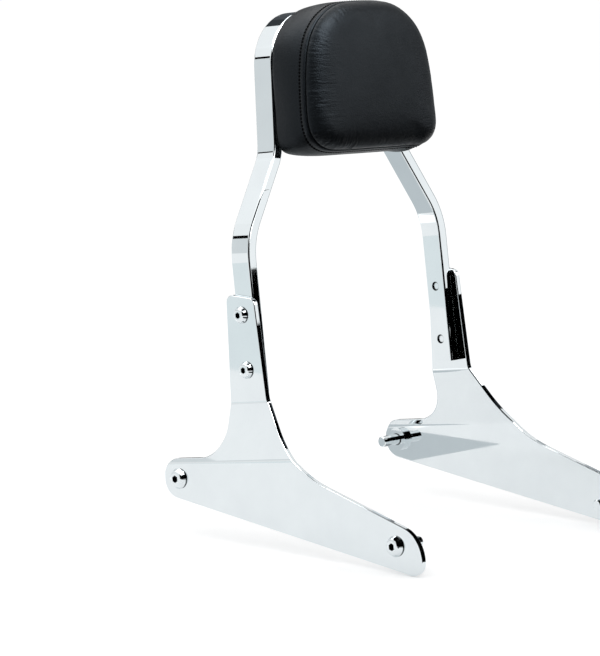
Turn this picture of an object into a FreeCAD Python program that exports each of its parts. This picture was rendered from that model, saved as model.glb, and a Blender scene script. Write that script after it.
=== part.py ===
import FreeCAD, Part
import math
import os
import Sketcher

# Motorcycle passenger backrest: a bent flat-bar upright, two side plates that bolt
# to the fender struts, and a sewn pad. Millimetres, +Z up, -Y forward, +X to the left
# of the rider. The upright leans back, so every piece is drawn square to the bar and
# then leaned as one. In that drawing frame the bar's front face is the plane Y = 0
# and Z = 0 is a little below its lower bends.

doc = FreeCAD.newDocument("backrest")
sheet = doc.addObject("Spreadsheet::Sheet", "Dims")

dimensions = (
    # upright, along the centre line of the bar
    ("lean", 7.7),
    ("bar_depth", 20.0),
    ("bar_thick", 9.525),
    ("bar_edge", 1.5),
    ("leg_half", 115.6),
    ("leg_drop", 119.5),
    ("leg_top", 3.0),
    ("neck_half", 73.4),
    ("neck_rise", 68.3),
    ("crown_half", 64.5),
    ("crown_rise", 177.4),
    ("leg_bend", 60.0),
    ("neck_bend", 32.0),
    ("crown_bend", 40.8),
    # straps welded between the legs of the bar, flush with its front face
    ("strap_thick", 3.2),
    ("strap_width", 20.0),
    ("strap_gap", 0.1),
    ("strap_low", 88.0),
    ("strap_pitch", 41.0),
    # side plates
    ("plate_thick", 4.76),
    ("plate_edge", 0.9),
    ("lap_front", 5.2),
    ("lap_rear", 5.05),
    ("lap_flare", 9.7),
    ("lap_lead", 3.6),
    ("lap_top_front", -44.0),
    ("lap_top_rear", -39.0),
    ("lap_round", 6.0),
    ("joggle", 12.0),
    ("joggle_top", -128.2),
    ("joggle_foot", -174.6),
    ("joggle_bend", 9.0),
    ("gusset_top", -126.0),
    ("gusset_round", 10.0),
    ("gusset_y", -40.9),
    ("gusset_z", -181.8),
    ("gusset_sweep", 110.0),
    ("flare_sweep", 28.0),
    ("nose_reach", 26.5),
    ("nose_rise", 7.6),
    ("nose_drop", 27.0),
    ("nose_sweep", 28.0),
    ("nose_round", 11.0),
    ("tail_reach", 16.5),
    ("tail_rise", 16.5),
    ("tail_drop", 12.8),
    ("tail_round", 15.5),
    # screws through the plate legs into the bar
    ("leg_screw_z", -56.4),
    ("leg_screw_pitch", 44.45),
    ("leg_screw_thread", 7.94),
    ("leg_screw_head", 13.9),
    ("leg_screw_rise", 4.2),
    ("leg_screw_hex", 4.76),
    ("leg_screw_spare", 1.5),
    ("tap_clearance", 0.2),
    # screws through the plate feet into the fender struts
    ("front_hole_y", -144.5),
    ("front_hole_z", -243.1),
    ("rear_hole_y", 86.6),
    ("rear_hole_z", -186.0),
    ("strut_screw_thread", 9.525),
    ("strut_screw_head", 16.7),
    ("strut_screw_rise", 5.05),
    ("strut_screw_hex", 5.56),
    ("strut_screw_reach", 19.0),
    ("spacer_out", 19.0),
    ("spacer_thick", 4.4),
    ("hole_clearance", 0.6),
    # pad
    ("pad_gap", 0.2),
    ("pad_low", 66.2),
    ("pad_tall", 119.5),
    ("pad_half_low", 76.8),
    ("pad_half_top", 68.8),
    ("pad_round_low", 28.0),
    ("pad_round_top", 54.0),
    ("band_depth", 36.4),
    ("crown_depth", 12.4),
    ("crown_round", 10.8),
    ("cover_thick", 2.0),
    ("foam_gap", 0.3),
    ("base_thick", 5.0),
    ("tee_flange", 18.0),
    ("tee_flange_thick", 1.6),
    ("tee_barrel", 8.6),
    ("tee_recess", 0.4),
    ("pad_screw_half", 45.0),
    ("pad_screw_thread", 6.0),
    ("pad_screw_head", 10.5),
    ("pad_screw_rise", 3.3),
    ("pad_screw_hex", 4.0),
    ("pad_screw_spare", 3.0),
    ("washer_out", 12.0),
    ("washer_thick", 1.2),
    # button heads
    ("dome_share", 0.72),
    ("dome_round", 2.8),
    ("head_rim", 1.0),
    ("thread_tip", 0.8),
    ("thread_depth", 0.25),
    ("socket_share", 0.55),
)
for row, (alias, number) in enumerate(dimensions, 1):
    sheet.set("A%d" % row, alias)
    sheet.set("B%d" % row, str(number))
    sheet.setAlias("B%d" % row, alias)
doc.recompute()


# A length with its number and the expression that ties it to the sheet
class Size:
    def __init__(self, number, text):
        self.number = number
        self.text = text

    def joined(self, other, sign, number):
        return Size(number, "(%s %s %s)" % (self.text, sign, other.text))

    def __add__(self, other):
        other = as_size(other)
        return self.joined(other, "+", self.number + other.number)

    def __sub__(self, other):
        other = as_size(other)
        return self.joined(other, "-", self.number - other.number)

    def __mul__(self, other):
        other = as_size(other)
        return self.joined(other, "*", self.number * other.number)

    def __truediv__(self, other):
        other = as_size(other)
        return self.joined(other, "/", self.number / other.number)

    def __neg__(self):
        return Size(-self.number, "(-1 * %s)" % self.text)


def as_size(value):
    if isinstance(value, Size):
        return value
    return Size(float(value), "(%r)" % float(value))


def dim(alias):
    return Size(float(sheet.get(alias)), "Dims." + alias)


def root(value):
    return Size(math.sqrt(value.number), "sqrt(%s)" % value.text)


def new_body(label):
    body = doc.addObject("PartDesign::Body", label)
    body.Label = label
    return body


def origin_of(body, role):
    return [part for part in body.Origin.OriginFeatures if part.Role == role][0]


def new_sketch(body, plane, name, offset=None):
    sketch = body.newObject("Sketcher::SketchObject", name)
    sketch.AttachmentSupport = [(origin_of(body, plane), "")]
    sketch.MapMode = "FlatFace"
    if offset is not None:
        sketch.setExpression("AttachmentOffset.Base.z", offset.text)
    return sketch


# Fixes one point of a sketch at two sizes from the sketch's origin
def pin_point(sketch, geometry, end, across, up):
    for kind, value, axis in (("DistanceX", across, -2), ("DistanceY", up, -1)):
        if value.number == 0.0:
            sketch.addConstraint(Sketcher.Constraint("PointOnObject", geometry, end, axis))
            continue
        index = sketch.addConstraint(
            Sketcher.Constraint(kind, -1, 1, geometry, end, value.number))
        sketch.setExpression("Constraints[%d]" % index, value.text)


def set_radius(sketch, geometry, radius):
    index = sketch.addConstraint(Sketcher.Constraint("Radius", geometry, radius.number))
    sketch.setExpression("Constraints[%d]" % index, radius.text)


# Draws straight runs through the given corners, each (across, up, radius), with a
# tangent arc at every corner that has a radius. An open path keeps its two ends sharp.
def draw_path(sketch, corners, closed=True):
    corners = [(as_size(a), as_size(u), r if r is None else as_size(r)) for a, u, r in corners]
    places = [FreeCAD.Vector(a.number, u.number, 0) for a, u, r in corners]
    count = len(corners)
    leave = []
    reach = []
    arcs = []
    for i, (across, up, radius) in enumerate(corners):
        here = places[i]
        if radius is None:
            reach.append(here)
            leave.append(here)
            arcs.append(None)
            continue
        back = (places[i - 1] - here).normalize()
        ahead = (places[(i + 1) % count] - here).normalize()
        half = back.getAngle(ahead) / 2
        run = radius.number / math.tan(half)
        reach.append(here + back * run)
        leave.append(here + ahead * run)
        centre = here + (back + ahead).normalize() * (radius.number / math.sin(half))
        middle = centre + (here - centre).normalize() * radius.number
        left_turn = back.cross(ahead).z < 0
        arcs.append((Part.Arc(reach[i], middle, leave[i]), left_turn))
    runs = count if closed else count - 1
    lines = []
    for i in range(runs):
        line = Part.LineSegment(leave[i], reach[(i + 1) % count])
        lines.append(sketch.addGeometry(line, False))
    for i, (across, up, radius) in enumerate(corners):
        before = lines[i - 1] if closed or i > 0 else None
        after = lines[i] if i < runs else None
        if radius is None:
            if before is not None and after is not None:
                sketch.addConstraint(Sketcher.Constraint("Coincident", before, 2, after, 1))
            if after is not None:
                pin_point(sketch, after, 1, across, up)
            else:
                pin_point(sketch, before, 2, across, up)
            continue
        curve, left_turn = arcs[i]
        arc = sketch.addGeometry(curve, False)
        first, last = (1, 2) if left_turn else (2, 1)
        sketch.addConstraint(Sketcher.Constraint("Tangent", before, 2, arc, first))
        sketch.addConstraint(Sketcher.Constraint("Tangent", arc, last, after, 1))
        set_radius(sketch, arc, radius)
        corner = sketch.addGeometry(Part.Point(places[i]), True)
        pin_point(sketch, corner, 1, across, up)
        sketch.addConstraint(Sketcher.Constraint("PointOnObject", corner, 1, before))
        sketch.addConstraint(Sketcher.Constraint("PointOnObject", corner, 1, after))


def draw_circle(sketch, across, up, diameter):
    across, up = as_size(across), as_size(up)
    centre = FreeCAD.Vector(across.number, up.number, 0)
    radius = diameter / 2
    circle = sketch.addGeometry(
        Part.Circle(centre, FreeCAD.Vector(0, 0, 1), radius.number), False)
    pin_point(sketch, circle, 3, across, up)
    set_radius(sketch, circle, radius)


def add_pad(body, sketch, name, length):
    pad = body.newObject("PartDesign::Pad", name)
    pad.Profile = sketch
    pad.setExpression("Length", length.text)
    return pad


# Cuts a sketch through the whole body, on both sides of the sketch
def cut_through(body, sketch, name):
    pocket = body.newObject("PartDesign::Pocket", name)
    pocket.Profile = sketch
    pocket.SideType = "Two sides"
    pocket.Type = "ThroughAll"
    pocket.Type2 = "ThroughAll"
    return pocket


# Names the edges of a feature for which the test holds
def edge_names(feature, test):
    doc.recompute()
    return ["Edge%d" % (i + 1) for i, edge in enumerate(feature.Shape.Edges) if test(edge)]


def add_fillet(body, base, name, edges, radius):
    fillet = body.newObject("PartDesign::Fillet", name)
    fillet.Base = (base, edges)
    fillet.setExpression("Radius", radius.text)
    return fillet


bar_outer = dim("leg_half") + dim("bar_thick") / 2
bar_middle = dim("bar_depth") / 2
plate_outer = bar_outer + dim("plate_thick")
foot_inner = bar_outer + dim("joggle")
foot_outer = plate_outer + dim("joggle")
leg_screw_low = dim("leg_screw_z") - dim("leg_screw_pitch")
strap_high = dim("strap_low") + dim("strap_pitch")
pad_back = dim("pad_gap")
strap_back = dim("strap_thick")


# The bore that takes a screw's threaded end
def tap_size(kind):
    return dim(kind + "_thread") - dim("thread_depth") * 2 + dim("tap_clearance")


# Half the room between the legs of the bar at a height between its neck and its crown
def room_at(height):
    taper = (dim("neck_half") - dim("crown_half")) / (dim("crown_rise") - dim("neck_rise"))
    middle = dim("neck_half") - (height - dim("neck_rise")) * taper
    return middle - dim("bar_thick") / 2 * root(taper * taper + 1)


# The bar: half of it swept along its bends, then mirrored
def build_upright():
    body = new_body("upright")
    path = new_sketch(body, "XZ_Plane", "upright_path")
    draw_path(path, (
        (-dim("leg_half"), -dim("leg_drop"), None),
        (-dim("leg_half"), dim("leg_top"), dim("leg_bend")),
        (-dim("neck_half"), dim("neck_rise"), dim("neck_bend")),
        (-dim("crown_half"), dim("crown_rise"), dim("crown_bend")),
        (0, dim("crown_rise"), None),
    ), closed=False)
    section = new_sketch(body, "XY_Plane", "upright_section", -dim("leg_drop"))
    half = dim("bar_thick") / 2
    edge = dim("bar_edge")
    draw_path(section, (
        (-dim("leg_half") - half, 0, edge),
        (-dim("leg_half") + half, 0, edge),
        (-dim("leg_half") + half, dim("bar_depth"), edge),
        (-dim("leg_half") - half, dim("bar_depth"), edge),
    ))
    doc.recompute()
    sweep = body.newObject("PartDesign::AdditivePipe", "upright_sweep")
    sweep.Profile = section
    sweep.Spine = path
    doc.recompute()
    mirror = body.newObject("PartDesign::Mirrored", "upright_mirror")
    mirror.Originals = [sweep]
    mirror.MirrorPlane = (origin_of(body, "YZ_Plane"), [""])
    body.Tip = mirror
    holes = new_sketch(body, "YZ_Plane", "upright_taps")
    for height in (dim("leg_screw_z"), leg_screw_low):
        draw_circle(holes, bar_middle, height, tap_size("leg_screw"))
    doc.recompute()
    body.Tip = cut_through(body, holes, "upright_tapping")
    return body


# A flat strap with two screw holes, its ends cut to the slope of the legs
def build_strap(label, height):
    body = new_body(label)
    outline = new_sketch(body, "XZ_Plane", label + "_outline", -strap_back)
    low = height - dim("strap_width") / 2
    high = height + dim("strap_width") / 2
    low_half = room_at(low) - dim("strap_gap")
    high_half = room_at(high) - dim("strap_gap")
    draw_path(outline, (
        (-low_half, low, None),
        (low_half, low, None),
        (high_half, high, None),
        (-high_half, high, None),
    ))
    for side in (-1, 1):
        draw_circle(outline, dim("pad_screw_half") * side, height,
                    dim("pad_screw_thread") + dim("hole_clearance"))
    add_pad(body, outline, label + "_plate", dim("strap_thick"))
    return body


# The right side plate: a joggled strip, trimmed to the outline and drilled
def build_side_plate():
    body = new_body("side_plate_right")
    thick = dim("plate_thick")
    run = dim("joggle_top") - dim("joggle_foot")
    slant = root(run * run + dim("joggle") * dim("joggle"))
    shift = thick * (slant - run) / dim("joggle")
    nose_y = dim("front_hole_y") - dim("nose_reach")
    tail_y = dim("rear_hole_y") + dim("tail_reach")
    strip_low = dim("front_hole_z") - dim("nose_drop") - thick
    strip_high = thick
    inner_bend = dim("joggle_bend")
    outer_bend = inner_bend + thick
    strip = new_sketch(body, "XZ_Plane", "plate_strip", -tail_y)
    draw_path(strip, (
        (-bar_outer, strip_high, None),
        (-plate_outer, strip_high, None),
        (-plate_outer, dim("joggle_top") + shift, inner_bend),
        (-foot_outer, dim("joggle_foot") + shift, outer_bend),
        (-foot_outer, strip_low, None),
        (-foot_inner, strip_low, None),
        (-foot_inner, dim("joggle_foot"), inner_bend),
        (-bar_outer, dim("joggle_top"), outer_bend),
    ))
    add_pad(body, strip, "plate_bent", tail_y - nose_y)
    trim = new_sketch(body, "YZ_Plane", "plate_trim")
    margin = thick * 2
    draw_path(trim, (
        (nose_y - margin, strip_low - margin, None),
        (tail_y + margin, strip_low - margin, None),
        (tail_y + margin, strip_high + margin, None),
        (nose_y - margin, strip_high + margin, None),
    ))
    draw_path(trim, (
        (-dim("lap_front"), dim("lap_top_front"), dim("lap_round")),
        (-dim("lap_front") - dim("lap_lead"), dim("gusset_top"), dim("gusset_round")),
        (dim("gusset_y"), dim("gusset_z"), dim("gusset_sweep")),
        (nose_y, dim("front_hole_z") + dim("nose_rise"), dim("nose_sweep")),
        (nose_y, dim("front_hole_z") - dim("nose_drop"), dim("nose_round")),
        (tail_y, dim("rear_hole_z") - dim("tail_drop"), dim("tail_round")),
        (tail_y, dim("rear_hole_z") + dim("tail_rise"), dim("tail_round")),
        (dim("bar_depth") + dim("lap_rear") + dim("lap_flare"),
         dim("rear_hole_z") + dim("tail_rise"), dim("flare_sweep")),
        (dim("bar_depth") + dim("lap_rear"), dim("lap_top_rear"), dim("lap_round")),
    ))
    doc.recompute()
    trimmed = cut_through(body, trim, "plate_trimmed")
    rounded = edge_names(trimmed, lambda edge: not along_x(edge))
    add_fillet(body, trimmed, "plate_rounded", rounded, dim("plate_edge"))
    holes = new_sketch(body, "YZ_Plane", "plate_holes")
    clearance = dim("hole_clearance")
    for height in (dim("leg_screw_z"), leg_screw_low):
        draw_circle(holes, bar_middle, height, dim("leg_screw_thread") + clearance)
    for end in ("front", "rear"):
        draw_circle(holes, dim(end + "_hole_y"), dim(end + "_hole_z"),
                    dim("strut_screw_thread") + clearance)
    doc.recompute()
    cut_through(body, holes, "plate_drilled")
    return body


# True where an edge of the plate runs straight through its thickness or across a bend
def along_x(edge):
    first, last = edge.Vertexes[0].Point, edge.Vertexes[-1].Point
    across = abs(first.x - last.x)
    along = math.hypot(first.y - last.y, first.z - last.z)
    flat_line = abs(first.z - last.z) < 1e-6 and isinstance(edge.Curve, Part.Line)
    return across > along or flat_line


# A button-head screw along X: the underside of its head is at the origin, the head
# is on the -X side, and the shank runs to +X, plain for the grip and threaded beyond it
def build_screw(label, kind, grip, reach):
    body = new_body(label)
    profile = new_sketch(body, "XY_Plane", label + "_profile")
    head = dim(kind + "_head") / 2
    rise = dim(kind + "_rise")
    plain = dim(kind + "_thread") / 2
    thread = plain - dim("thread_depth")
    shank = grip + reach
    tip = dim("thread_tip")
    dome = head * dim("dome_share")
    draw_path(profile, (
        (-rise, 0, None),
        (-rise, dome, dim("dome_round")),
        (-dim("head_rim"), head, None),
        (0, head, None),
        (0, plain, None),
        (grip, plain, None),
        (grip, thread, None),
        (shank - tip, thread, None),
        (shank, thread - tip, None),
        (shank, 0, None),
    ))
    turned = body.newObject("PartDesign::Revolution", label + "_turned")
    turned.Profile = profile
    turned.ReferenceAxis = (origin_of(body, "X_Axis"), [""])
    turned.Angle = 360
    socket = new_sketch(body, "YZ_Plane", label + "_socket", -rise)
    point = dim(kind + "_hex") / math.sqrt(3)
    corners = []
    for i in range(6):
        angle = math.radians(60 * i + 30)
        corners.append((point * round(math.cos(angle), 9), point * round(math.sin(angle), 9), None))
    draw_path(socket, corners)
    doc.recompute()
    recess = body.newObject("PartDesign::Pocket", label + "_recess")
    recess.Profile = socket
    recess.Reversed = True
    recess.setExpression("Length", (rise * dim("socket_share")).text)
    body.Tip = recess
    doc.recompute()
    return body, [turned, recess]


# A flat ring along X from the origin to +X
def build_ring(label, outer, inner, thick):
    body = new_body(label)
    profile = new_sketch(body, "YZ_Plane", label + "_profile")
    draw_circle(profile, 0, 0, outer)
    draw_circle(profile, 0, 0, inner)
    ring = add_pad(body, profile, label + "_pressed", thick)
    doc.recompute()
    return body, [ring]


# Repeats a body's features along one or two of its axes
def repeat(body, features, axis, length, axis2=None, length2=None):
    pattern = body.newObject("PartDesign::LinearPattern", body.Label + "_pattern")
    pattern.Originals = features
    pattern.Direction = (origin_of(body, axis), [""])
    pattern.Occurrences = 2
    pattern.setExpression("Length", length.text)
    if axis2 is not None:
        pattern.Direction2 = (origin_of(body, axis2), [""])
        pattern.Occurrences2 = 2
        pattern.setExpression("Length2", length2.text)
    body.Tip = pattern


# The pad's outline, drawn in from the cover's outside by the given inset
def draw_pad(sketch, inset):
    low = dim("pad_low") + inset
    high = dim("pad_low") + dim("pad_tall") - inset
    low_half = dim("pad_half_low") - inset
    top_half = dim("pad_half_top") - inset
    low_round = dim("pad_round_low") - inset
    top_round = dim("pad_round_top") - inset
    draw_path(sketch, (
        (-low_half, low, low_round),
        (low_half, low, low_round),
        (top_half, high, top_round),
        (-top_half, high, top_round),
    ))


# The four screw places of the pad
def draw_pad_holes(sketch, diameter):
    for height in (dim("strap_low"), strap_high):
        for side in (-1, 1):
            draw_circle(sketch, dim("pad_screw_half") * side, height, diameter)


# Edges of the front of a pad piece
def front_edges(feature, depth):
    return edge_names(feature, lambda edge: all(
        abs(point.Point.y + depth.number) < 1e-4 for point in edge.Vertexes))


def build_band():
    body = new_body("cover_side_band")
    outline = new_sketch(body, "XZ_Plane", "band_outline", pad_back)
    draw_pad(outline, as_size(0))
    draw_pad(outline, dim("cover_thick"))
    add_pad(body, outline, "band_wall", dim("band_depth"))
    return body


def build_panel():
    body = new_body("cover_front_panel")
    back = pad_back + dim("band_depth")
    outline = new_sketch(body, "XZ_Plane", "panel_outline", back)
    draw_pad(outline, as_size(0))
    block = add_pad(body, outline, "panel_block", dim("crown_depth"))
    edges = front_edges(block, back + dim("crown_depth"))
    crowned = add_fillet(body, block, "panel_crowned", edges, dim("crown_round"))
    doc.recompute()
    rear = [i for i, face in enumerate(crowned.Shape.Faces, 1)
            if abs(face.CenterOfMass.y + back.number) < 1e-4]
    shell = body.newObject("PartDesign::Thickness", "panel_shell")
    shell.Base = (crowned, ["Face%d" % i for i in rear])
    shell.setExpression("Value", "Dims.cover_thick")
    shell.Reversed = True
    return body


def build_foam():
    body = new_body("pad_foam")
    back = pad_back + dim("base_thick")
    inset = dim("cover_thick") + dim("foam_gap")
    depth = dim("band_depth") + dim("crown_depth") - dim("base_thick") - inset
    outline = new_sketch(body, "XZ_Plane", "foam_outline", back)
    draw_pad(outline, inset)
    block = add_pad(body, outline, "foam_block", depth)
    edges = front_edges(block, back + depth)
    add_fillet(body, block, "foam_crowned", edges, dim("crown_round") - inset)
    holes = new_sketch(body, "XZ_Plane", "foam_holes", back)
    draw_pad_holes(holes, dim("tee_flange") + dim("foam_gap") * 2)
    doc.recompute()
    recess = body.newObject("PartDesign::Pocket", "foam_recess")
    recess.Profile = holes
    recess.Reversed = True
    deep = dim("tee_flange_thick") + dim("pad_screw_spare") + dim("foam_gap")
    recess.setExpression("Length", deep.text)
    return body


def build_base():
    body = new_body("pad_base")
    outline = new_sketch(body, "XZ_Plane", "base_outline", pad_back)
    draw_pad(outline, dim("cover_thick") + dim("foam_gap"))
    draw_pad_holes(outline, dim("tee_barrel") + dim("foam_gap"))
    add_pad(body, outline, "base_pan", dim("base_thick"))
    return body


# A tee nut along X: its flange is on the +X side of the origin, its barrel on the other
def build_tee_nut(label):
    body = new_body(label)
    profile = new_sketch(body, "XY_Plane", label + "_profile")
    bore = tap_size("pad_screw") / 2
    barrel = dim("tee_barrel") / 2
    flange = dim("tee_flange") / 2
    length = dim("base_thick") - dim("tee_recess")
    draw_path(profile, (
        (-length, bore, None),
        (dim("tee_flange_thick"), bore, None),
        (dim("tee_flange_thick"), flange, None),
        (0, flange, None),
        (0, barrel, None),
        (-length, barrel, None),
    ))
    turned = body.newObject("PartDesign::Revolution", label + "_turned")
    turned.Profile = profile
    turned.ReferenceAxis = (origin_of(body, "X_Axis"), [""])
    turned.Angle = 360
    doc.recompute()
    return body, [turned]


def place(x, y, z, turn=0.0):
    rotation = FreeCAD.Rotation(FreeCAD.Vector(0, 0, 1), turn)
    return FreeCAD.Placement(FreeCAD.Vector(x.number, y.number, z.number), rotation)


# Each sub-part with its place in the drawing frame
nothing = as_size(0)
parts = []
mirrored = []


def keep(body, place_in_drawing=FreeCAD.Placement(), both_sides=False):
    parts.append((body, place_in_drawing))
    if both_sides:
        mirrored.append(body)


keep(build_upright())
keep(build_strap("pad_strap_lower", dim("strap_low")))
keep(build_strap("pad_strap_upper", strap_high))
keep(build_side_plate(), both_sides=True)

leg_screws, features = build_screw(
    "upright_screws_right", "leg_screw", dim("plate_thick"),
    dim("bar_thick") - dim("leg_screw_spare"))
repeat(leg_screws, features, "Z_Axis", dim("leg_screw_pitch"))
keep(leg_screws, place(-plate_outer, bar_middle, leg_screw_low), both_sides=True)

strut_grip = dim("plate_thick") + dim("spacer_thick")
strut_hole = dim("strut_screw_thread") + dim("hole_clearance")
for end in ("front", "rear"):
    hole = (dim(end + "_hole_y"), dim(end + "_hole_z"))
    screw, features = build_screw(
        end + "_strut_screw_right", "strut_screw", strut_grip, dim("strut_screw_reach"))
    keep(screw, place(-foot_outer, *hole), both_sides=True)
    spacer, features = build_ring(
        end + "_spacer_right", dim("spacer_out"), strut_hole, dim("spacer_thick"))
    keep(spacer, place(-foot_inner, *hole), both_sides=True)

keep(build_base())
keep(build_foam())
keep(build_band())
keep(build_panel())

# The pad's fasteners are drawn along X and turned to point forward
pad_span = dim("pad_screw_half") * 2
head_seat = strap_back + dim("washer_thick")
pad_grip = head_seat + pad_back
pad_reach = dim("base_thick") + dim("tee_flange_thick") + dim("pad_screw_spare")
turn = -90.0
nuts, features = build_tee_nut("pad_tee_nuts")
repeat(nuts, features, "Y_Axis", pad_span, "Z_Axis", dim("strap_pitch"))
keep(nuts, place(-dim("pad_screw_half"), -pad_back - dim("base_thick"), dim("strap_low"), turn))
washers, features = build_ring(
    "pad_washers", dim("washer_out"), dim("pad_screw_thread") + dim("hole_clearance"),
    dim("washer_thick"))
repeat(washers, features, "Y_Axis", pad_span, "Z_Axis", dim("strap_pitch"))
keep(washers, place(-dim("pad_screw_half"), head_seat, dim("strap_low"), turn))
screws, features = build_screw("pad_screws", "pad_screw", pad_grip, pad_reach)
repeat(screws, features, "Y_Axis", pad_span, "Z_Axis", dim("strap_pitch"))
keep(screws, place(-dim("pad_screw_half"), head_seat, dim("strap_low"), turn))

# Lean the drawing back, then bring the middle of its floor to the origin
lean = FreeCAD.Placement(
    FreeCAD.Vector(), FreeCAD.Rotation(FreeCAD.Vector(1, 0, 0), -dim("lean").number))
for body, local in parts:
    body.Placement = lean.multiply(local)
doc.recompute()
box = FreeCAD.BoundBox()
for body, local in parts:
    box.add(body.Shape.optimalBoundingBox(False))
shift = FreeCAD.Placement(
    FreeCAD.Vector(0, -(box.YMin + box.YMax) / 2, -box.ZMin), FreeCAD.Rotation())
for body, local in parts:
    body.Placement = shift.multiply(lean).multiply(local)
left = []
for body in mirrored:
    twin = doc.addObject("Part::Mirroring", body.Label.replace("_right", "_left"))
    twin.Label = body.Label.replace("_right", "_left")
    twin.Source = body
    twin.Normal = FreeCAD.Vector(1, 0, 0)
    left.append(twin)
doc.recompute()

for item in doc.Objects:
    faults = [state for state in item.State if state in ("Invalid", "Error")]
    if faults:
        raise RuntimeError("%s did not build: %s" % (item.Label, faults))
nodes = [body for body, local in parts] + left
for node in nodes:
    if node.Shape.isNull() or not node.Shape.isValid():
        raise RuntimeError("%s has no valid shape" % node.Label)

os.makedirs("parts", exist_ok=True)
for node in nodes:
    node.Shape.exportStep("parts/%s.step" % node.Label)
    print("%-26s %2d solids %12.1f mm3" % (node.Label, len(node.Shape.Solids), node.Shape.Volume))
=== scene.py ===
import math
import bmesh
import bpy
from mathutils import Matrix, Vector, bvhtree, kdtree, noise


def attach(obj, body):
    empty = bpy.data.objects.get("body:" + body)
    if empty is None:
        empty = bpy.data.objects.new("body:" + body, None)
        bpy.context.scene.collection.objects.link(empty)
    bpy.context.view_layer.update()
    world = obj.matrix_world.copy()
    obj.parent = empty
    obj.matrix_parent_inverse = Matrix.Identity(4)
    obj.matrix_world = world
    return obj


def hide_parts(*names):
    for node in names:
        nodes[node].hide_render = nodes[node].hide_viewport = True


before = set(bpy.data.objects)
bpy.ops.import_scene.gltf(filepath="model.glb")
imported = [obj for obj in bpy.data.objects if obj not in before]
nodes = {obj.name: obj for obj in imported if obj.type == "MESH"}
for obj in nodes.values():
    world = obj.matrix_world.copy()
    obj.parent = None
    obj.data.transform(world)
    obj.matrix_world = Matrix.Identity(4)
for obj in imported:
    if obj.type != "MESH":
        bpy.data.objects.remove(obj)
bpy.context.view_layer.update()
scene = bpy.context.scene
mm = 0.001
print("frame loaded, nodes:", len(nodes))

barFrame = {
    "lean": 7.7,           # degrees that the whole backrest leans to the rear
    "rearShift": 63.159,   # mm from the bar's front face at its lower bends to the origin
    "rise": 243.128,       # mm from the ground to the lower bends
}
leanCos = math.cos(math.radians(barFrame["lean"]))
leanSin = math.sin(math.radians(barFrame["lean"]))


def onBar(x, y, z):  # a point measured square to the bar in mm, given in the part's metres
    return Vector((x,
                   y * leanCos + z * leanSin + barFrame["rearShift"],
                   z * leanCos - y * leanSin + barFrame["rise"])) * mm


def linearColour(code):  # sRGB hex to the linear colour that the shader takes
    shares = [int(code[i:i + 2], 16) / 255 for i in (1, 3, 5)]
    linear = [c / 12.92 if c <= 0.04045 else ((c + 0.055) / 1.055) ** 2.4 for c in shares]
    return (*linear, 1.0)


def addNode(tree, kind, settings=None, inputs=None):
    node = tree.nodes.new(kind)
    for name, value in (settings or {}).items():
        setattr(node, name, value)
    for name, value in (inputs or {}).items():
        if isinstance(value, bpy.types.NodeSocket):
            tree.links.new(value, node.inputs[name])
        else:
            node.inputs[name].default_value = value
    return node


def startMaterial(name):
    material = bpy.data.materials.new(name)
    material.use_nodes = True
    material.node_tree.nodes.clear()
    return material, material.node_tree


def finishMaterial(tree, shader):
    addNode(tree, "ShaderNodeOutputMaterial", {}, {"Surface": shader.outputs[0]})


def perMetre(size):  # texture scale for a feature of this many millimetres
    return 1.0 / (size * mm)


# Chrome-plated steel: polished, nickelled and flash-chromed. The eye gets a clear, cool
# mirror with a faint long ripple from the buffing wheel and a trace of wiped haze.
chromeFinish = {
    "bright": "#E0E6E8", "hazed": "#D6DCDF",
    "rippleSize": 55.0, "rippleDepth": 0.012,  # mm
    "hazeSize": 30.0, "hazeSpread": (0.35, 0.7), "polish": (0.02, 0.045),
}


def makeChrome(name, finish):
    material, tree = startMaterial(name)
    place = addNode(tree, "ShaderNodeTexCoord").outputs["Object"]
    haze = addNode(tree, "ShaderNodeTexNoise", {}, {
        "Vector": place, "Scale": perMetre(finish["hazeSize"]), "Detail": 4.0, "Roughness": 0.6})
    colour = addNode(tree, "ShaderNodeMix", {"data_type": "RGBA"}, {
        0: haze.outputs["Fac"], 6: linearColour(finish["bright"]), 7: linearColour(finish["hazed"])})
    if "hollow" in finish:  # painted shade: the colour darkens in the sockets and under the heads
        exposed = addNode(tree, "ShaderNodeAmbientOcclusion", {"samples": 16}, {
            "Distance": finish["hollow"] * mm})
        deep, shallow = finish["shaded"]
        unshadedShare = addNode(tree, "ShaderNodeMapRange", {}, {
            "Value": exposed.outputs["AO"], "From Min": deep, "From Max": shallow})
        colour = addNode(tree, "ShaderNodeMix", {"data_type": "RGBA"}, {
            0: unshadedShare.outputs[0], 6: linearColour(finish["paintedShade"]), 7: colour.outputs[2]})
    thin, thick = finish["hazeSpread"]
    low, high = finish["polish"]
    polish = addNode(tree, "ShaderNodeMapRange", {}, {
        "Value": haze.outputs["Fac"], "From Min": thin, "From Max": thick, "To Min": low, "To Max": high})
    ripple = addNode(tree, "ShaderNodeTexNoise", {}, {
        "Vector": place, "Scale": perMetre(finish["rippleSize"]), "Detail": 1.0})
    buffed = addNode(tree, "ShaderNodeBump", {}, {
        "Height": ripple.outputs["Fac"], "Distance": finish["rippleDepth"] * mm, "Strength": 1.0})
    shader = addNode(tree, "ShaderNodeBsdfPrincipled", {}, {
        "Base Color": colour.outputs[2], "Metallic": 1.0,
        "Roughness": polish.outputs[0], "Normal": buffed.outputs["Normal"]})
    finishMaterial(tree, shader)
    return material


# Chromed button heads: the same plating, with painted shade that turns the colour near black
# in the sockets and under the heads. The eye gets a bright dome round a dark hexagon.
headFinish = {
    # near-black painted shade for the sockets and under the heads
    **chromeFinish, "paintedShade": "#050506",
    "hollow": 2.6,           # mm, a wall nearer than this makes a hollow
    "shaded": (0.55, 0.88),  # share of the view that is open, from all painted shade to none
}

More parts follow.
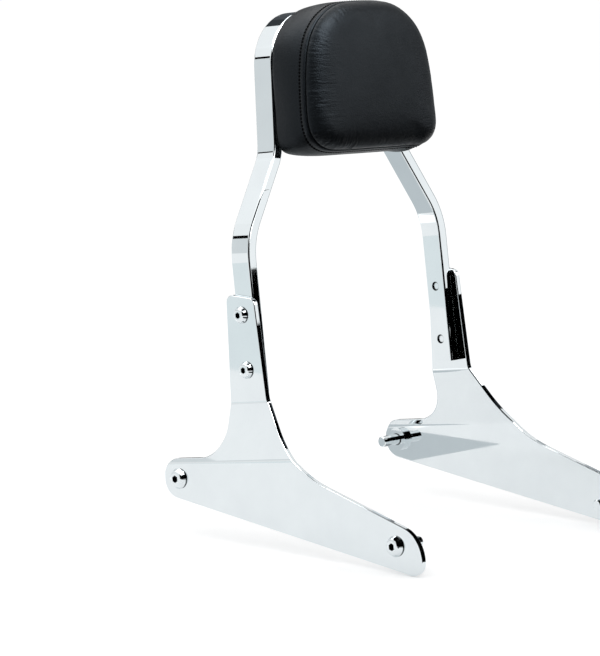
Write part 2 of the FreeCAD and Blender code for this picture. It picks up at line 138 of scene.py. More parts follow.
# Zinc-plated steel: bright passivated fasteners behind the pad. The eye gets a softer,
# slightly cloudy grey with a blue cast.
zincFinish = {
    "bright": "#B9C0C6", "hazed": "#9FA7AE",
    "rippleSize": 8.0, "rippleDepth": 0.01,  # mm
    "hazeSize": 3.0, "hazeSpread": (0.35, 0.7), "polish": (0.22, 0.38),
}

# Moulded ABS: the pan behind the pad, tool-textured. The eye gets a dull black with a
# fine even stipple that breaks up the highlight.
panFinish = {
    "dark": "#141517", "worn": "#1D1F21", "cloud": 25.0, "index": 1.53,
    "stipple": 1.1,          # mm, coarser than the tool's so that it shows
    "stippleDepth": 0.08, "stippleSpread": (0.3, 0.7), "dullness": (0.48, 0.62),
}


def makeMouldedPlastic(name, finish):
    material, tree = startMaterial(name)
    place = addNode(tree, "ShaderNodeTexCoord").outputs["Object"]
    stipple = addNode(tree, "ShaderNodeTexNoise", {}, {
        "Vector": place, "Scale": perMetre(finish["stipple"]), "Detail": 2.0})
    cloud = addNode(tree, "ShaderNodeTexNoise", {}, {
        "Vector": place, "Scale": perMetre(finish["cloud"]), "Detail": 3.0})
    colour = addNode(tree, "ShaderNodeMix", {"data_type": "RGBA"}, {
        0: cloud.outputs["Fac"], 6: linearColour(finish["dark"]), 7: linearColour(finish["worn"])})
    pit, crest = finish["stippleSpread"]
    low, high = finish["dullness"]
    rough = addNode(tree, "ShaderNodeMapRange", {}, {
        "Value": stipple.outputs["Fac"], "From Min": pit, "From Max": crest, "To Min": low, "To Max": high})
    pressed = addNode(tree, "ShaderNodeBump", {}, {
        "Height": stipple.outputs["Fac"], "Distance": finish["stippleDepth"] * mm, "Strength": 0.8})
    shader = addNode(tree, "ShaderNodeBsdfPrincipled", {}, {
        "Base Color": colour.outputs[2], "IOR": finish["index"],
        "Roughness": rough.outputs[0], "Normal": pressed.outputs["Normal"]})
    finishMaterial(tree, shader)
    return material


# Stitched leather, embossed and pigment-coated black. The eye gets a near-black with a
# low satin sheen, a small pebble grain with fine creases between the pebbles, and soft
# clouding where the coat has been handled.
leatherFinish = {
    "coat": "#050607", "rubbed": "#0B0D0F", "sheen": "#B6C7D6", "sheenLevel": 0.25, "index": 1.5,
    "pebble": 1.7,           # mm, the real grain is nearer 0.8 and would not show
    "pebbleDepth": 0.07, "pebbleStray": 0.9, "pebbleEdge": 0.28,
    "crease": 5.0, "creaseDepth": 0.16,
    "cloud": 22.0, "cloudSpread": (0.3, 0.7), "satin": (0.36, 0.47),
    "gather": (15.0, 1.9),   # mm, the folds' length and their spacing
    "gatherDepth": 0.0,      # mm, none where the leather lies flat
    "gatherFrom": 34.0, "gatherTo": 70.0,  # mm from the middle, where the folds begin and are full
}

# The same leather on the front panel, drawn in by the seam at its sides. The eye gets fine
# level folds that die out towards the middle.
gatheredFinish = {**leatherFinish, "gatherDepth": 0.42}


def makeLeather(name, finish):
    material, tree = startMaterial(name)
    place = addNode(tree, "ShaderNodeTexCoord").outputs["Object"]
    wander = addNode(tree, "ShaderNodeTexNoise", {}, {
        "Vector": place, "Scale": perMetre(finish["crease"]), "Detail": 3.0})
    stray = addNode(tree, "ShaderNodeVectorMath", {"operation": "SCALE"}, {
        0: wander.outputs["Color"], "Scale": finish["pebble"] * finish["pebbleStray"] * mm})
    shifted = addNode(tree, "ShaderNodeVectorMath", {"operation": "ADD"}, {
        0: place, 1: stray.outputs[0]})
    pebble = addNode(tree, "ShaderNodeTexVoronoi", {"feature": "DISTANCE_TO_EDGE"}, {
        "Vector": shifted.outputs[0], "Scale": perMetre(finish["pebble"])})
    rounded = addNode(tree, "ShaderNodeMapRange", {"interpolation_type": "SMOOTHSTEP"}, {
        "Value": pebble.outputs["Distance"], "From Min": 0.0, "From Max": finish["pebbleEdge"]})
    cloud = addNode(tree, "ShaderNodeTexNoise", {}, {
        "Vector": place, "Scale": perMetre(finish["cloud"]), "Detail": 4.0, "Roughness": 0.6})
    colour = addNode(tree, "ShaderNodeMix", {"data_type": "RGBA"}, {
        0: cloud.outputs["Fac"], 6: linearColour(finish["coat"]), 7: linearColour(finish["rubbed"])})
    thin, thick = finish["cloudSpread"]
    low, high = finish["satin"]
    satin = addNode(tree, "ShaderNodeMapRange", {}, {
        "Value": cloud.outputs["Fac"], "From Min": thin, "From Max": thick, "To Min": high, "To Max": low})
    longWay, shortWay = (perMetre(size) for size in finish["gather"])
    drawn = addNode(tree, "ShaderNodeVectorMath", {"operation": "MULTIPLY"}, {
        0: place, 1: (longWay, longWay, shortWay)})
    folds = addNode(tree, "ShaderNodeTexNoise", {}, {
        "Vector": drawn.outputs[0], "Scale": 1.0, "Detail": 2.0, "Roughness": 0.55, "Distortion": 0.6})
    sides = addNode(tree, "ShaderNodeVectorMath", {"operation": "ABSOLUTE"}, {0: place})
    outwards = addNode(tree, "ShaderNodeSeparateXYZ", {}, {0: sides.outputs[0]})
    pull = addNode(tree, "ShaderNodeMapRange", {"interpolation_type": "SMOOTHSTEP"}, {
        "Value": outwards.outputs["X"], "From Min": finish["gatherFrom"] * mm,
        "From Max": finish["gatherTo"] * mm})
    gathered = addNode(tree, "ShaderNodeMath", {"operation": "MULTIPLY"}, {
        0: folds.outputs["Fac"], 1: pull.outputs[0]})
    folded = addNode(tree, "ShaderNodeBump", {}, {
        "Height": gathered.outputs[0], "Distance": finish["gatherDepth"] * mm, "Strength": 1.0})
    creased = addNode(tree, "ShaderNodeBump", {}, {
        "Height": wander.outputs["Fac"], "Distance": finish["creaseDepth"] * mm, "Strength": 0.8,
        "Normal": folded.outputs["Normal"]})
    grained = addNode(tree, "ShaderNodeBump", {}, {
        "Height": rounded.outputs[0], "Distance": finish["pebbleDepth"] * mm, "Strength": 0.8,
        "Normal": creased.outputs["Normal"]})
    shader = addNode(tree, "ShaderNodeBsdfPrincipled", {}, {
        "Base Color": colour.outputs[2], "IOR": finish["index"], "Roughness": satin.outputs[0],
        "Specular IOR Level": finish["sheenLevel"], "Specular Tint": linearColour(finish["sheen"]),
        "Normal": grained.outputs["Normal"]})
    finishMaterial(tree, shader)
    return material


# Bonded nylon thread: twisted and waxed black. The eye gets dark dashes with a small glint
# on the twist. Its colour is painted darker in the twist's grooves and lighter on its crests.
threadFinish = {
    "deep": "#020203", "crest": "#08090B", "index": 1.53, "dullness": 0.7, "waxLevel": 0.02,
    "twist": 0.9, "twistDepth": 0.1,  # mm
}


def makeThread(name, finish):
    material, tree = startMaterial(name)
    place = addNode(tree, "ShaderNodeTexCoord").outputs["Object"]
    twist = addNode(tree, "ShaderNodeTexWave", {"bands_direction": "DIAGONAL"}, {
        "Vector": place, "Scale": perMetre(finish["twist"]) / math.tau, "Distortion": 1.5})
    # painted shade in the twist's grooves and painted light on its crests, following the bump
    colour = addNode(tree, "ShaderNodeMix", {"data_type": "RGBA"}, {
        0: twist.outputs["Fac"], 6: linearColour(finish["deep"]), 7: linearColour(finish["crest"])})
    wound = addNode(tree, "ShaderNodeBump", {}, {
        "Height": twist.outputs["Fac"], "Distance": finish["twistDepth"] * mm, "Strength": 0.7})
    shader = addNode(tree, "ShaderNodeBsdfPrincipled", {}, {
        "Base Color": colour.outputs[2], "IOR": finish["index"], "Roughness": finish["dullness"],
        "Specular IOR Level": finish["waxLevel"], "Normal": wound.outputs["Normal"]})
    finishMaterial(tree, shader)
    return material


chrome = makeChrome("chrome-plated steel", chromeFinish)
chromedHeads = makeChrome("chromed button heads", headFinish)
zinc = makeChrome("zinc-plated steel", zincFinish)
mouldedPlastic = makeMouldedPlastic("moulded ABS", panFinish)
leather = makeLeather("stitched leather", leatherFinish)
gatheredLeather = makeLeather("gathered leather", gatheredFinish)
thread = makeThread("bonded nylon thread", threadFinish)
platings = {"pad_screws": zinc, "pad_washers": zinc, "pad_tee_nuts": zinc}
for name, node in nodes.items():
    plating = platings.get(name, chromedHeads if "screw" in name else chrome)
    node.data.materials.clear()
    node.data.materials.append(plating)
print("materials made:", len(bpy.data.materials))


# The sewn pad. Half widths and heights are mm square to the bar, from the middle of the
# bottom round to the middle of the top.
padShape = {
    "seamLine": ((0, 66.2), (20, 66.2), (34, 66.2), (46, 66.7), (57, 68.8), (66.2, 74.0), (71.8, 81.2),
                 (74.2, 90.0), (74.6, 98.0), (74.3, 107.0), (73.7, 116.5), (72.8, 126.0), (71.4, 135.5),
                 (69.5, 144.7), (66.4, 153.5), (62.0, 161.8), (56.1, 169.0), (49.0, 175.0), (41.2, 179.7),
                 (32.8, 183.0), (24.2, 184.7), (15.8, 185.4), (7.8, 185.6), (0, 185.7)),
    "backLine": ((0, 64.6), (24, 64.6), (45, 64.8), (61, 65.6), (70.0, 68.4), (73.8, 75.0), (74.6, 86.0),
                 (74.1, 100.0), (74.1, 115.0), (73.9, 129.8), (72.9, 140.0), (71.6, 147.5), (69.3, 155.0),
                 (65.4, 162.0), (60.0, 168.6), (53.6, 174.5), (39.2, 181.5), (24, 184.6), (12, 185.4),
                 (0, 185.7)),
    "backDepth": 0.2, "seamDepth": 36.6,
    "roll": -1.8, "rollHeight": 126.0,  # degrees and mm, the pad is screwed on a little askew
    "fullCorner": (66.0, 74.0), "fullReach": 26.0, "fullOut": 4.2,  # one lower corner is stuffed fuller
    # the cover's rear edge stands off the bar low down, and the band hangs fuller along the bottom
    "liftOff": 1.0, "liftFrom": 150.0, "liftTo": 80.0, "liftDepth": 14.0,
    "sag": 1.6, "sagFrom": 92.0, "sagTo": 68.0, "sagRound": 0.8,
    "gridSide": 40, "curveSteps": 24, "smoothLevels": 2,
    # how far out from the outline, and how deep from the seam, each row of the panel's edge is
    "panelEdge": ((-1.7, 0.1), (-0.6, 0.5), (-0.05, 1.2), (0.0, 2.4), (-0.8, 4.4), (-2.0, 6.4),
                  (-4.0, 8.6), (-6.8, 10.6), (-10.2, 12.0), (-13.6, 12.8)),
    "panelDome": 2.4, "panelMiddle": 126.5,
    # the same for the band, with depth from the bar's face
    "bandRows": ((-5.0, 0.9), (-2.8, 0.5), (-1.2, 0.5), (-0.2, 1.6), (0.3, 3.6), (0.7, 7.0),
                 (1.1, 11.5), (1.3, 16.0), (1.3, 20.5), (1.0, 24.6), (0.6, 27.8), (0.4, 29.5),
                 (0.2, 30.4), (0.25, 31.1), (0.55, 31.9), (0.8, 33.2), (0.8, 34.7), (0.4, 35.8),
                 (-0.6, 36.3), (-1.7, 36.5)),
    "rearHeld": 4, "seamHeld": 3, "grooveHeld": (12, 13),  # rows that the swelling leaves in place
}


def smoothLoop(line, count):  # a closed curve through the mirrored points, evenly spaced
    right = [Vector((x, z)) for x, z in line]
    corners = right + [Vector((-p.x, p.y)) for p in reversed(right[1:-1])]
    total = len(corners)
    steps = padShape["curveSteps"]
    fine = []
    for i in range(total):
        before, here, after, beyond = (corners[(i + k) % total] for k in (-1, 0, 1, 2))
        span = (after - here).length
        leaving = (after - before) * (span / max((after - here).length + (here - before).length, 1e-6))
        arriving = (beyond - here) * (span / max((beyond - after).length + (after - here).length, 1e-6))
        for step in range(steps):
            t = step / steps
            fine.append((2 * t ** 3 - 3 * t ** 2 + 1) * here + (t ** 3 - 2 * t ** 2 + t) * leaving
                        + (3 * t ** 2 - 2 * t ** 3) * after + (t ** 3 - t ** 2) * arriving)
    lengths = [0.0]
    for i, point in enumerate(fine):
        lengths.append(lengths[-1] + (fine[(i + 1) % len(fine)] - point).length)
    loop = []
    k = 0
    for i in range(count):
        want = lengths[-1] * i / count
        while lengths[k + 1] < want:
            k += 1
        share = (want - lengths[k]) / max(lengths[k + 1] - lengths[k], 1e-9)
        loop.append(fine[k].lerp(fine[(k + 1) % len(fine)], share))
    return loop


def outwardNormals(loop):  # the loops run round with the outside on the right
    count = len(loop)
    result = []
    for i in range(count):
        along = (loop[(i + 1) % count] - loop[i - 1]).normalized()
        result.append(Vector((along.y, -along.x)))
    return result


ringCount = 4 * padShape["gridSide"]
seamLoop = smoothLoop(padShape["seamLine"], ringCount)
backLoop = smoothLoop(padShape["backLine"], ringCount)
rollCos = math.cos(math.radians(padShape["roll"]))
rollSin = math.sin(math.radians(padShape["roll"]))
bandKind, panelKind = 0, 1


def padRing(reach, depth):  # one closed row of the pad, out from its outline at that depth
    back, seam = padShape["backDepth"], padShape["seamDepth"]
    share = min(max((depth - back) / (seam - back), 0.0), 1.0)
    loop = [b.lerp(s, share) for b, s in zip(backLoop, seamLoop)]
    belly = math.sin(math.pi * share) ** padShape["sagRound"] * padShape["sag"]
    row = []
    for p, n in zip(loop, outwardNormals(loop)):
        low = (padShape["sagFrom"] - p.y) / (padShape["sagFrom"] - padShape["sagTo"])
        full = max(0.0, 1.0 - (p - Vector(padShape["fullCorner"])).length / padShape["fullReach"])
        out = reach + padShape["fullOut"] * full ** 2 * (3 - 2 * full)
        p = p + n * out + Vector((0, -belly * min(max(low, 0.0), 1.0)))
        high = p.y - padShape["rollHeight"]
        row.append(Vector((p.x * rollCos - high * rollSin, -depth,
                           p.x * rollSin + high * rollCos + padShape["rollHeight"])))
    return row


def liftedRing(out, depth):  # the same, standing off the bar towards the bottom
    row = padRing(out, depth)
    for p in row:
        low = (padShape["liftFrom"] - p.z) / (padShape["liftFrom"] - padShape["liftTo"])
        near = max(0.0, 1.0 - depth / padShape["liftDepth"])
        p.y -= padShape["liftOff"] * min(max(low, 0.0), 1.0) * near
    return row


def ringAt(ring, turn):  # a point part of the way round a row
    place = turn % 1.0 * len(ring)
    k = int(place)
    return ring[k % len(ring)].lerp(ring[(k + 1) % len(ring)], place - k)


def ringFaces(rowCount):  # the quads between rows that follow each other
    faces = []
    for r in range(rowCount - 1):
        here, there = r * ringCount, (r + 1) * ringCount
        for i in range(ringCount):
            k = (i + 1) % ringCount
            faces.append((here + i, here + k, there + k, there + i))
    return faces


def buildCover():  # band rows, panel rows and the panel's grid in one sewn skin
    points, pins = [], []
    bandRows = [liftedRing(out, depth) for out, depth in padShape["bandRows"]]
    panelRows = [padRing(out, padShape["seamDepth"] + depth) for out, depth in padShape["panelEdge"]]
    rows = bandRows + panelRows
    for r, row in enumerate(rows):
        nearSeam = abs(r - len(bandRows)) <= padShape["seamHeld"]
        held = nearSeam or r < padShape["rearHeld"] or r in padShape["grooveHeld"]
        for p in row:
            points.append(p)
            pins.append(1.0 if held else 0.0)
    faces = ringFaces(len(rows))
    kinds = [bandKind] * (len(bandRows) * ringCount) + [panelKind] * ((len(panelRows) - 1) * ringCount)
    edgeRow = rows[-1]
    first = (len(rows) - 1) * ringCount
    middle = Vector((0, -padShape["seamDepth"] - padShape["panelEdge"][-1][1], padShape["panelMiddle"]))
    side = padShape["gridSide"]
    index = {}
    for a in range(side + 1):
        for b in range(side + 1):
            x, y = 2 * a / side - 1, 2 * b / side - 1
            radius = max(abs(x), abs(y))
            if abs(x) > abs(y):  # square rows wrapped round, so that rim points are even
                turn = y / x / 8 + (0.0 if x > 0 else 0.5)
            else:
                turn = 0.25 - (x / y / 8 if radius else 0.0) + (0.0 if y > 0 else 0.5)
            turn += 0.25  # the rows start at the bottom middle
            if a in (0, side) or b in (0, side):
                index[a, b] = first + round(turn * ringCount) % ringCount
                continue
            rim = ringAt(edgeRow, turn)
            p = middle.lerp(rim, radius)
            p.y -= padShape["panelDome"] * (1 - radius ** 2)
            index[a, b] = len(points)
            points.append(p)
            pins.append(0.0)
    for a in range(side):
        for b in range(side):
            faces.append((index[a, b], index[a + 1, b], index[a + 1, b + 1], index[a, b + 1]))
            kinds.append(panelKind)
    return points, faces, kinds, pins


def newMesh(name, points, faces, material):
    mesh = bpy.data.meshes.new(name)
    mesh.from_pydata(points, [], faces)
    mesh.materials.append(material)
    mesh.validate()
    work = bmesh.new()
    work.from_mesh(mesh)
    bmesh.ops.recalc_face_normals(work, faces=work.faces)
    work.to_mesh(mesh)
    work.free()
    mesh.polygons.foreach_set("use_smooth", [True] * len(mesh.polygons))
    piece = bpy.data.objects.new(name, mesh)
    scene.collection.objects.link(piece)
    return piece


# Cloth under pressure, held at the seams, with its travel capped in mm
swelling = {"pressure": 4.0, "limit": 2.2, "frames": 20,
            "quality": 6, "mass": 0.3, "stretch": 30.0, "shear": 15.0, "bend": 4.0}


def swell(points, faces, pins):
    cover = newMesh("swelling_cover", points, faces, leather)
    group = cover.vertex_groups.new(name="sewn")
    for i, weight in enumerate(pins):
        if weight:
            group.add([i], weight, "REPLACE")
    cloth = cover.modifiers.new("swell", "CLOTH")
    settings = cloth.settings
    settings.quality = swelling["quality"]
    settings.mass = swelling["mass"]
    settings.tension_stiffness = swelling["stretch"]
    settings.compression_stiffness = swelling["stretch"]
    settings.shear_stiffness = swelling["shear"]
    settings.bending_stiffness = swelling["bend"]
    settings.use_pressure = True
    settings.uniform_pressure_force = swelling["pressure"]
    settings.vertex_group_mass = "sewn"
    settings.effector_weights.gravity = 0.0
    cloth.collision_settings.use_collision = False
    for step in range(1, swelling["frames"] + 1):
        scene.frame_set(step)
    drawn = cover.evaluated_get(bpy.context.evaluated_depsgraph_get())
    limit = swelling["limit"] * mm
    result = []
    furthest = 0.0
    for start, vertex in zip(points, drawn.data.vertices):
        travel = vertex.co - start
        furthest = max(furthest, travel.length)
        result.append(start + travel * (limit / (limit + travel.length)))
    scene.frame_set(1)
    bpy.data.objects.remove(cover)
    print("cover swelled, furthest travel mm: %.2f" % (furthest / mm))
    return result


coverPoints, coverFaces, coverKinds, coverPins = buildCover()
coverPoints = [onBar(*p) for p in coverPoints]
coverPoints = swell(coverPoints, coverFaces, coverPins)


def sewnPiece(name, kind, material):  # one sewn panel of the cover, subdivided and applied
    faces = [f for f, k in zip(coverFaces, coverKinds) if k == kind]
    used = sorted({i for f in faces for i in f})
    order = {old: new for new, old in enumerate(used)}
    piece = newMesh(name, [coverPoints[i] for i in used], [[order[i] for i in f] for f in faces], material)
    smooth = piece.modifiers.new("smooth", "SUBSURF")
    smooth.levels = smooth.render_levels = padShape["smoothLevels"]
    smooth.boundary_smooth = "PRESERVE_CORNERS"
    drawn = piece.evaluated_get(bpy.context.evaluated_depsgraph_get())
    applied = bpy.data.meshes.new_from_object(drawn)
    piece.modifiers.clear()
    piece.data = applied
    return piece


# Short creases that run in from the seam, where the leather is gathered
puckering = {
    "size": 2.4, "depth": 0.8, "reach": 26.0,  # mm between creases, their height, and how far in they run
    "start": 2.5, "falloff": 1.4,              # mm from the seam to a crease, and how fast it dies out
    "long": 9.0, "short": 5.0,                 # mm along a crease
    "shortShare": 0.6, "shortPitch": 1.9,      # the short ones are lower and closer together
    "patch": 9, "patchLeast": 0.15,            # creases come in patches of about this many
    "slackFrom": 30.0, "slackSpan": 70.0, "slackLeast": 0.2,  # mm, one side is pulled tighter
    "patchRow": (1.3, 5.2), "longRow": 3.7, "shortRow": 9.1,  # where each is read from the noise
    "ringSplit": 12,
}


def pucker(piece):
    ring = [onBar(*p) for p in padRing(0.0, padShape["seamDepth"])]
    count = puckering["ringSplit"] * len(ring)
    around = kdtree.KDTree(count)
    for i in range(count):
        around.insert(ringAt(ring, i / count), i)
    around.balance()
    length = sum((ring[i] - ring[i - 1]).length for i in range(len(ring)))
    reach = puckering["reach"] * mm
    size = puckering["size"] * mm
    mesh = piece.data
    normals = [v.normal.copy() for v in mesh.vertices]
    for vertex, normal in zip(mesh.vertices, normals):
        spot, k, gap = around.find(vertex.co)
        if gap > reach:
            continue
        along = k / count * length / size
        patch = 0.5 + noise.noise(Vector((along / puckering["patch"], *puckering["patchRow"])))
        tight = (puckering["slackFrom"] * mm - vertex.co.x) / (puckering["slackSpan"] * mm)
        side = min(max(tight, puckering["slackLeast"]), 1.0)
        fade = (1 - gap / reach) ** puckering["falloff"] * min(gap / (puckering["start"] * mm), 1.0)
        fade = fade * min(max(patch, puckering["patchLeast"]), 1.0) * side
        inLong = gap / (puckering["long"] * mm)
        inShort = gap / (puckering["short"] * mm)
        wave = noise.noise(Vector((along, inLong, puckering["longRow"])))
        wave += puckering["shortShare"] * noise.noise(
            Vector((along * puckering["shortPitch"], inShort, puckering["shortRow"])))
        vertex.co += normal * (wave * fade * puckering["depth"] * mm)


panel = sewnPiece("pad_front_panel", panelKind, gatheredLeather)
band = sewnPiece("pad_side_band", bandKind, leather)
pucker(panel)
print("pad sewn, faces:", len(panel.data.polygons) + len(band.data.polygons))


# Stitches along the band behind the seam, each a short arched length of thread
stitching = {
    "pitch": 2.9, "length": 1.9, "thread": 1.5,  # mm
    "reach": 0.4, "depth": 30.7,                 # mm out from the outline and from the bar's face
    "proud": 0.25, "sunk": 0.6, "tip": 0.35,     # mm at its middle and ends, and how thin the ends are
    "sides": 8, "steps": 6,
}


def layThread(points, faces, path, thick, sides):  # a tube along a short path, closed at its ends
    start = len(points)
    count = len(path)
    for i, p in enumerate(path):
        along = (path[min(i + 1, count - 1)] - path[max(i - 1, 0)]).normalized()
        across = along.cross(Vector((0, 1, 0)))
        if across.length < 1e-3:
            across = along.cross(Vector((1, 0, 0)))
        across.normalize()
        lift = across.cross(along)
        size = thick / 2 * (stitching["tip"] if i in (0, count - 1) else 1.0)
        for s in range(sides):
            angle = math.tau * s / sides
            points.append(p + across * (math.cos(angle) * size) + lift * (math.sin(angle) * size))
    for i in range(count - 1):
        for s in range(sides):
            t = (s + 1) % sides
            faces.append((start + i * sides + s, start + i * sides + t,
                          start + (i + 1) * sides + t, start + (i + 1) * sides + s))
    faces.append([start + s for s in reversed(range(sides))])
    faces.append([start + (count - 1) * sides + s for s in range(sides)])


def buildStitches():
    row = padRing(stitching["reach"], stitching["depth"])
    surface = bvhtree.BVHTree.FromPolygons([v.co for v in band.data.vertices],
                                           [tuple(f.vertices) for f in band.data.polygons])
    length = sum((row[i] - row[i - 1]).length for i in range(len(row)))
    count = round(length / stitching["pitch"])
    steps = stitching["steps"]
    points, faces = [], []
    for i in range(count):
        path = []
        for step in range(steps + 1):
            share = step / steps
            turn = (i + (share - 0.5) * stitching["length"] / stitching["pitch"]) / count
            arch = math.sin(math.pi * share)
            height = stitching["proud"] * arch - stitching["sunk"] * (1 - arch)
            spot, outwards, _, _ = surface.find_nearest(onBar(*ringAt(row, turn)))
            path.append(spot + outwards * height * mm)
        layThread(points, faces, path, stitching["thread"] * mm, stitching["sides"])
    return newMesh("pad_seam_stitches", points, faces, thread)


stitches = buildStitches()
print("stitches laid")


# The moulded pan: a flat back with a rolled rim that the cover is pulled round
panShape = {"rows": ((-9.0, 0.3), (-6.0, 0.3), (-5.2, 0.5), (-4.4, 0.9), (-3.6, 0.9),
                     (-2.9, 1.4), (-2.7, 3.5), (-2.9, 5.0), (-9.0, 5.2))}


def buildPan():
    rows = [padRing(out, depth) for out, depth in panShape["rows"]]
    points = [p for row in rows for p in row]
    faces = ringFaces(len(rows))
    faces.append(list(range(ringCount)))
    faces.append(list(reversed(range((len(rows) - 1) * ringCount, len(rows) * ringCount))))
    return newMesh("pad_back_pan", [onBar(*p) for p in points], faces, mouldedPlastic)


pan = buildPan()
print("pan moulded")

for piece in (panel, band, stitches, pan):
    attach(piece, "root")
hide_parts("cover_front_panel", "pad_foam")
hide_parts("cover_side_band")
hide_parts("pad_base")


# Stage: a pale floor, soft lamps, and cards that show only in reflections
def flatCard(name, centre, width, height, facing, material):
    x, y = width / 2, height / 2
    mesh = bpy.data.meshes.new(name)
    mesh.from_pydata([(-x, -y, 0), (x, -y, 0), (x, y, 0), (-x, y, 0)], [], [(0, 1, 2, 3)])
    mesh.materials.append(material)
    card = bpy.data.objects.new(name, mesh)
    scene.collection.objects.link(card)
    turn = Vector(facing).to_track_quat("Z", "Y").to_matrix().to_4x4()
    card.matrix_world = Matrix.Translation(centre) @ turn
    return card


def glowMaterial(name, code, strength):
    material, tree = startMaterial(name)
    glow = addNode(tree, "ShaderNodeEmission", {}, {"Color": linearColour(code), "Strength": strength})
    finishMaterial(tree, glow)
    return material


def seenDirectly(tree):  # 1 where the camera, a reflection or glass looks, 0 for light that falls on the part
    rays = addNode(tree, "ShaderNodeLightPath")
    seen = addNode(tree, "ShaderNodeMath", {"operation": "MAXIMUM"}, {
        0: rays.outputs["Is Camera Ray"], 1: rays.outputs["Is Glossy Ray"]})
    seen = addNode(tree, "ShaderNodeMath", {"operation": "MAXIMUM"}, {
        0: seen.outputs[0], 1: rays.outputs["Is Transmission Ray"]})
    return seen.outputs[0]


floorShape = {"side": 30.0, "drop": 0.0006, "colour": "#F8F8F8", "lift": 0.22}


def layFloor():
    material, tree = startMaterial("matt white paper")
    lift = addNode(tree, "ShaderNodeMath", {"operation": "MULTIPLY"}, {
        0: seenDirectly(tree), 1: floorShape["lift"]})
    glow = addNode(tree, "ShaderNodeEmission", {}, {"Color": (1, 1, 1, 1), "Strength": lift.outputs[0]})
    paper = addNode(tree, "ShaderNodeBsdfDiffuse", {}, {"Color": linearColour(floorShape["colour"])})
    both = addNode(tree, "ShaderNodeAddShader", {}, {0: glow.outputs[0], 1: paper.outputs[0]})
    finishMaterial(tree, both)
    side = floorShape["side"]
    return flatCard("floor", (0, 0, -floorShape["drop"]), side, side, (0, 0, 1), material)


layFloor()

lamps = (  # name, place, aim, width, watts
    ("top_bank", (-0.7, 0.5, 2.4), (0, 0, 0.2), 2.2, 6),
    ("front_fill", (-1.2, -2.2, 1.6), (0, 0, 0.25), 1.4, 6),
)
for name, place, aim, width, watts in lamps:
    lamp = bpy.data.lights.new(name, "AREA")
    lamp.shape = "SQUARE"
    lamp.size = width
    lamp.energy = watts
    holder = bpy.data.objects.new(name, lamp)
    scene.collection.objects.link(holder)
    holder.location = place
    holder.rotation_euler = (Vector(aim) - Vector(place)).to_track_quat("-Z", "Y").to_euler()

leftward = Vector((-0.68, 0.73, 0))   # across the picture, to the rear right of the part
nearward = Vector((-0.73, -0.68, 0))  # towards the camera
cards = (  # name, centre, width, height, facing, colour, strength
    ("rear_softbox", leftward * 2.2 + Vector((0, 0, 1.21)), 3.0, 0.48, -leftward, "#FFFFFF", 1.12),
    ("rear_top", leftward * 2.2 + Vector((0, 0, 2.32)), 3.0, 1.74, -leftward, "#FFFFFF", 1.16),
    ("rear_strip", leftward * 2.19 + Vector((0, 0, 0.92)), 3.0, 0.11, -leftward, "#000000", 0.0),
    ("rear_grey", leftward * 2.2 + Vector((0, 0, 0.57)), 3.0, 0.62, -leftward, "#F6F9FA", 0.92),
    ("edge_flag", -nearward * 2.2 + Vector((0, 0, 0.5)), 2.6, 1.0, nearward, "#000000", 0.0),
    ("lap_grey", (-1.16, 1.06, 0.004), 0.78, 0.88, (0, 0, 1), "#E8EEEF", 1.16),
    ("near_slot", (-0.526, 0.432, 0.21), 0.72, 0.095, -leftward, "#FFFFFF", 1.12),
    ("near_softbox", (-0.30, 0.34, 0.82), 0.30, 0.18, (0.23, -0.27, -0.42), "#FFFFFF", 5.5),
    ("arc_card", (-0.25, 1.3, 1.37), 1.0, 0.42, (0, -1, 0), "#FFFFFF", 1.14),
    ("rear_flag", (0.315, 1.0, 1.11), 0.33, 0.34, (0, -1, 0), "#3C3F42", 1.0),
    ("rear_step", (0.60, 1.0, 0.97), 0.26, 0.34, (0, -1, 0), "#505357", 1.0),
    ("rear_shade", (0.90, 1.0, 0.55), 0.40, 0.7, (0, -1, 0), "#55595D", 1.0),
    ("rear_bank", (0.15, 1.05, 1.80), 1.6, 0.9, (0, -0.75, -0.6), "#FFFFFF", 3.5),
    ("front_strip", -leftward * 2.2 + Vector((0, 0, 0.365)), 2.2, 0.33, leftward, "#FFFFFF", 1.14),
    ("front_softbox", -leftward * 2.2 + Vector((0, 0, 0.765)), 2.2, 0.47, leftward, "#FFFFFF", 2.2),
    ("front_bank", -leftward * 2.2 + Vector((0, 0, 1.45)), 2.2, 0.90, leftward, "#FFFFFF", 2.9),
    ("front_drape", -leftward * 2.3 + Vector((0, 0, 2.75)), 3.6, 1.7, leftward, "#2A2D30", 1.0),
    ("crown_bank", (-0.06, -0.22, 0.88), 0.48, 0.48, (0.0, 0.5, -0.87), "#FFFFFF", 9.5),
    ("front_shade", (0.20, -1.60, 0.34), 1.0, 0.68, (0, 1, 0), "#000000", 0.0),
    ("key_bank", (0.15, -1.70, 1.10), 0.9, 0.6, (-0.1, 1.0, -0.3), "#FFFFFF", 4.2),
    ("top_front_bank", (-0.30, -1.30, 1.55), 1.2, 0.6, (0.15, 0.75, -0.6), "#FFFFFF", 2.6),
    ("right_drape", (1.9, -0.1, 0.6), 2.2, 1.5, (-1, 0, 0), "#B0B5B9", 1.0),
    ("low_flag", (0.245, -0.77, 0.13), 0.8, 0.28, leftward, "#000000", 0.0),
    ("ground_flag", (0.30, -0.51, 0.19), 1.2, 0.98, (0, 0, 1), "#000000", 0.0),
    ("under_flag", (0.32, -0.06, 0.004), 0.36, 0.60, (0, 0, 1), "#9EA3A7", 1.0),
    ("under_grey", (0.16, 0.42, 0.004), 0.52, 0.42, (0, 0, 1), "#D3D9DC", 1.0),
    ("floor_bounce", (-0.18, 0.41, 0.005), 0.14, 0.18, (0, 0, 1), "#FFFFFF", 1.6),
    ("near_floor_flag", (-0.34, -0.34, 0.004), 0.34, 0.34, (0, 0, 1), "#1E2123", 1.0),
    ("band_gobo", (-0.12, 0.033, 0.285), 0.08, 0.057, (0, 0, 1), "#000000", 0.0),
    ("camera_drape", nearward * 1.7 + Vector((0, 0, 0.85)), 2.6, 1.90, -nearward, "#000000", 0.0),
)
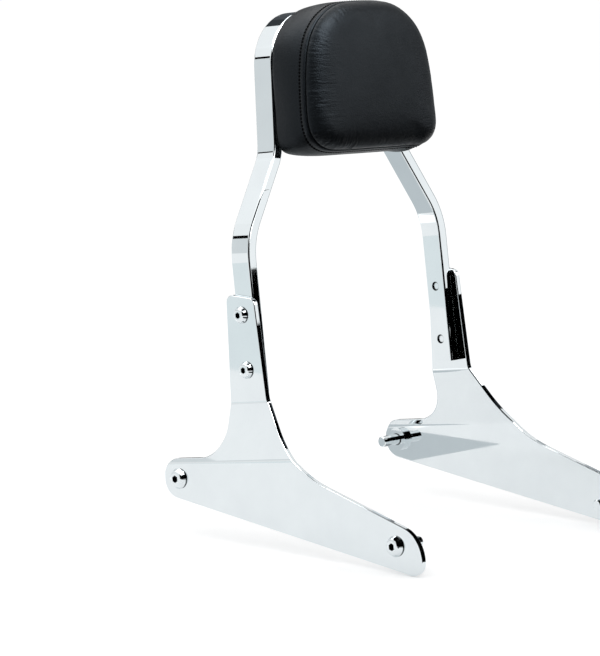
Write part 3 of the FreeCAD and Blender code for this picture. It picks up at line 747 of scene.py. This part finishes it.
for name, centre, width, height, facing, code, strength in cards:
    card = flatCard(name, centre, width, height, facing, glowMaterial(name, code, strength))
    card.visible_camera = card.visible_diffuse = card.visible_shadow = False

skyShape = {"ambient": 0.85}


def makeSky():
    world = bpy.data.worlds.new("studio")
    world.use_nodes = True
    scene.world = world
    tree = world.node_tree
    tree.nodes.clear()
    ambient = addNode(tree, "ShaderNodeBackground", {}, {
        "Color": (1, 1, 1, 1), "Strength": skyShape["ambient"]})
    white = addNode(tree, "ShaderNodeBackground", {}, {"Color": (1, 1, 1, 1), "Strength": 1.0})
    both = addNode(tree, "ShaderNodeMixShader", {}, {
        0: seenDirectly(tree), 1: ambient.outputs[0], 2: white.outputs[0]})
    addNode(tree, "ShaderNodeOutputWorld", {}, {"Surface": both.outputs[0]})


makeSky()

viewpoint = {
    "azimuth": -47.05, "elevation": 8.22, "distance": 4.0,
    "focalPixels": 4985.0, "image": (600, 656), "sensor": 36.0, "farthest": 50.0,
    "aim": (-0.12036, 0.06334, 0.24448), "aimPixel": (247.1, 242.5),
}


def setCamera():
    a, e = math.radians(viewpoint["azimuth"]), math.radians(viewpoint["elevation"])
    back = Vector((math.sin(a) * math.cos(e), -math.cos(a) * math.cos(e), math.sin(e)))
    right = Vector((math.cos(a), math.sin(a), 0))
    up = back.cross(right)
    wide, tall = viewpoint["image"]
    scale = viewpoint["distance"] / viewpoint["focalPixels"]
    across = (viewpoint["aimPixel"][0] - wide / 2) * scale
    down = (viewpoint["aimPixel"][1] - tall / 2) * scale
    data = bpy.data.cameras.new("photo_view")
    data.sensor_width = viewpoint["sensor"]
    data.lens = viewpoint["focalPixels"] * data.sensor_width / tall
    data.clip_end = viewpoint["farthest"]
    camera = bpy.data.objects.new("photo_view", data)
    scene.collection.objects.link(camera)
    turn = Matrix((right, up, back)).transposed().to_4x4()
    place = Vector(viewpoint["aim"]) + back * viewpoint["distance"] - right * across + up * down
    camera.matrix_world = Matrix.Translation(place) @ turn
    scene.camera = camera


setCamera()
scene.view_settings.view_transform = "Standard"
print("stage lit")
